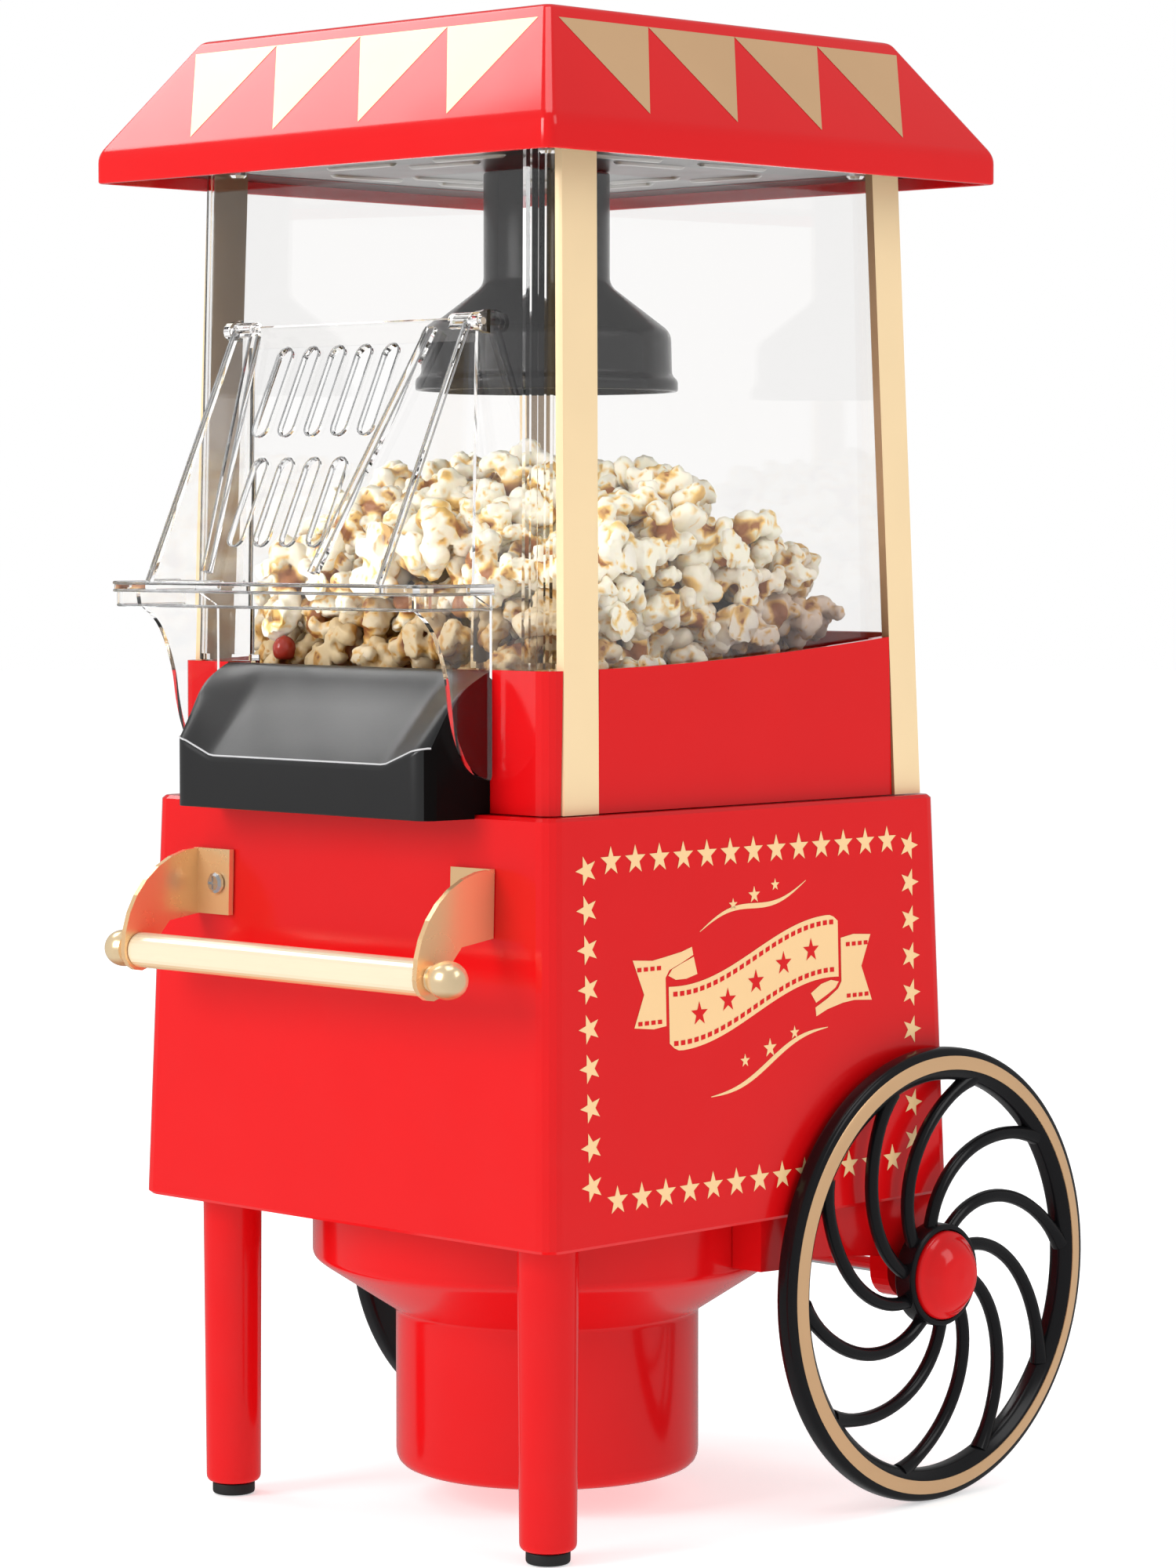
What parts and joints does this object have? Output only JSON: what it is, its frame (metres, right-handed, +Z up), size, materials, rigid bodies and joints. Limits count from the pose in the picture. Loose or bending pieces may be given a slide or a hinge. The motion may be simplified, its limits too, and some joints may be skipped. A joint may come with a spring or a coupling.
{
  "type": "popcorn maker",
  "caption": "Tabletop hot-air popcorn maker shaped like a small cart: clear popping cabinet under a hipped roof, hinged serving hood over a chute, push handle and spoked wheels.",
  "frame": {"origin": "middle of the footprint at floor level, under the feet and wheels", "axes": "+Z up, -Y towards the front with the chute and push handle, +X to the right-hand wheel as seen from the front"},
  "size_m": [0.2374, 0.298, 0.505],
  "materials": {
    "red_plastic": "high-gloss moulded plastic",
    "clear_plastic": "clear, polished",
    "cream_gold_trim": "satin cream-gold strip",
    "brass_plate": "polished brass",
    "black_plastic": "gloss black moulding",
    "fan_plastic": "moulded",
    "chute_plastic": "semi-gloss dark grey",
    "rubber": "matte",
    "ceiling_sheet": "grey sheet",
    "steel": "zinc plated",
    "duct_sheet": "bare sheet",
    "motor_can": "plated can",
    "cup_aluminium": "spun aluminium",
    "mica": "mica board",
    "heater_wire": "oxidised resistance wire"
  },
  "bodies": {
    "machine": {"base_body": "red_plastic", "base_plate": "red_plastic", "plate_screw_1": "steel", "plate_screw_2": "steel", "plate_screw_3": "steel", "plate_screw_4": "steel", "hopper_tub": "red_plastic", "post_front_right": "cream_gold_trim", "post_rear_right": "cream_gold_trim", "post_front_left": "cream_gold_trim", "post_rear_left": "cream_gold_trim", "clear_screen": "clear_plastic", "chute": "chute_plastic", "hinge_pin_right": "steel", "hinge_pin_left": "steel", "popping_cup": "cup_aluminium", "air_duct": "duct_sheet", "heater_frame": "mica", "heater_coil": "heater_wire", "thermostat": "mica", "thermal_fuse": "cup_aluminium", "motor_bracket": "duct_sheet", "motor": "motor_can", "under_cover": "red_plastic", "leg_right": "red_plastic", "foot_right": "rubber", "leg_screw_right": "steel", "leg_left": "red_plastic", "foot_left": "rubber", "leg_screw_left": "steel", "axle_carrier": "red_plastic", "axle": "steel", "push_nut_right": "steel", "push_nut_left": "steel", "handle_bracket_right": "brass_plate", "handle_screw_right": "steel", "handle_ball_right": "brass_plate", "handle_bracket_left": "brass_plate", "handle_screw_left": "steel", "handle_ball_left": "brass_plate", "handle_bar": "brass_plate", "switch_housing": "black_plastic", "cord_inlet": "rubber"},
    "chute_hood": {"chute_hood": "clear_plastic"},
    "lid": {"roof_shell": "red_plastic", "ceiling_plate": "ceiling_sheet", "bell": "black_plastic", "bell_bolt": "steel", "roof_screw_1": "steel", "roof_screw_2": "steel", "roof_screw_3": "steel", "roof_screw_4": "steel"},
    "right_wheel": {"wheel_right": "black_plastic", "hub_cap_right": "red_plastic"},
    "left_wheel": {"wheel_left": "black_plastic", "hub_cap_left": "red_plastic"},
    "rotor": {"motor_shaft": "steel", "fan": "fan_plastic"},
    "rocker": {"switch_rocker": "black_plastic"}
  },
  "joints": [
    {"name": "hood_hinge", "type": "hinge", "parent": "machine", "child": "chute_hood", "pos_m": [0, -0.1062, 0.4046], "axis": [-1, 0, 0], "range_deg": [0, 75]},
    {"name": "roof_lift", "type": "slide", "parent": "machine", "child": "lid", "axis": [0, 0, 1], "range_m": [0, 0.12]},
    {"name": "wheel_right_spin", "type": "hinge", "parent": "machine", "child": "right_wheel", "pos_m": [0.105, 0.07, 0.079], "axis": [1, 0, 0], "continuous": true},
    {"name": "wheel_left_spin", "type": "hinge", "parent": "machine", "child": "left_wheel", "pos_m": [-0.105, 0.07, 0.079], "axis": [1, 0, 0], "continuous": true},
    {"name": "fan_spin", "type": "hinge", "parent": "machine", "child": "rotor", "pos_m": [0, -0.015, 0.048], "axis": [0, 0, 1], "continuous": true},
    {"name": "switch_rock", "type": "hinge", "parent": "machine", "child": "rocker", "pos_m": [0.042, 0.08174, 0.18997], "axis": [-1, 0, 0], "range_deg": [0, 16]}
  ]
}
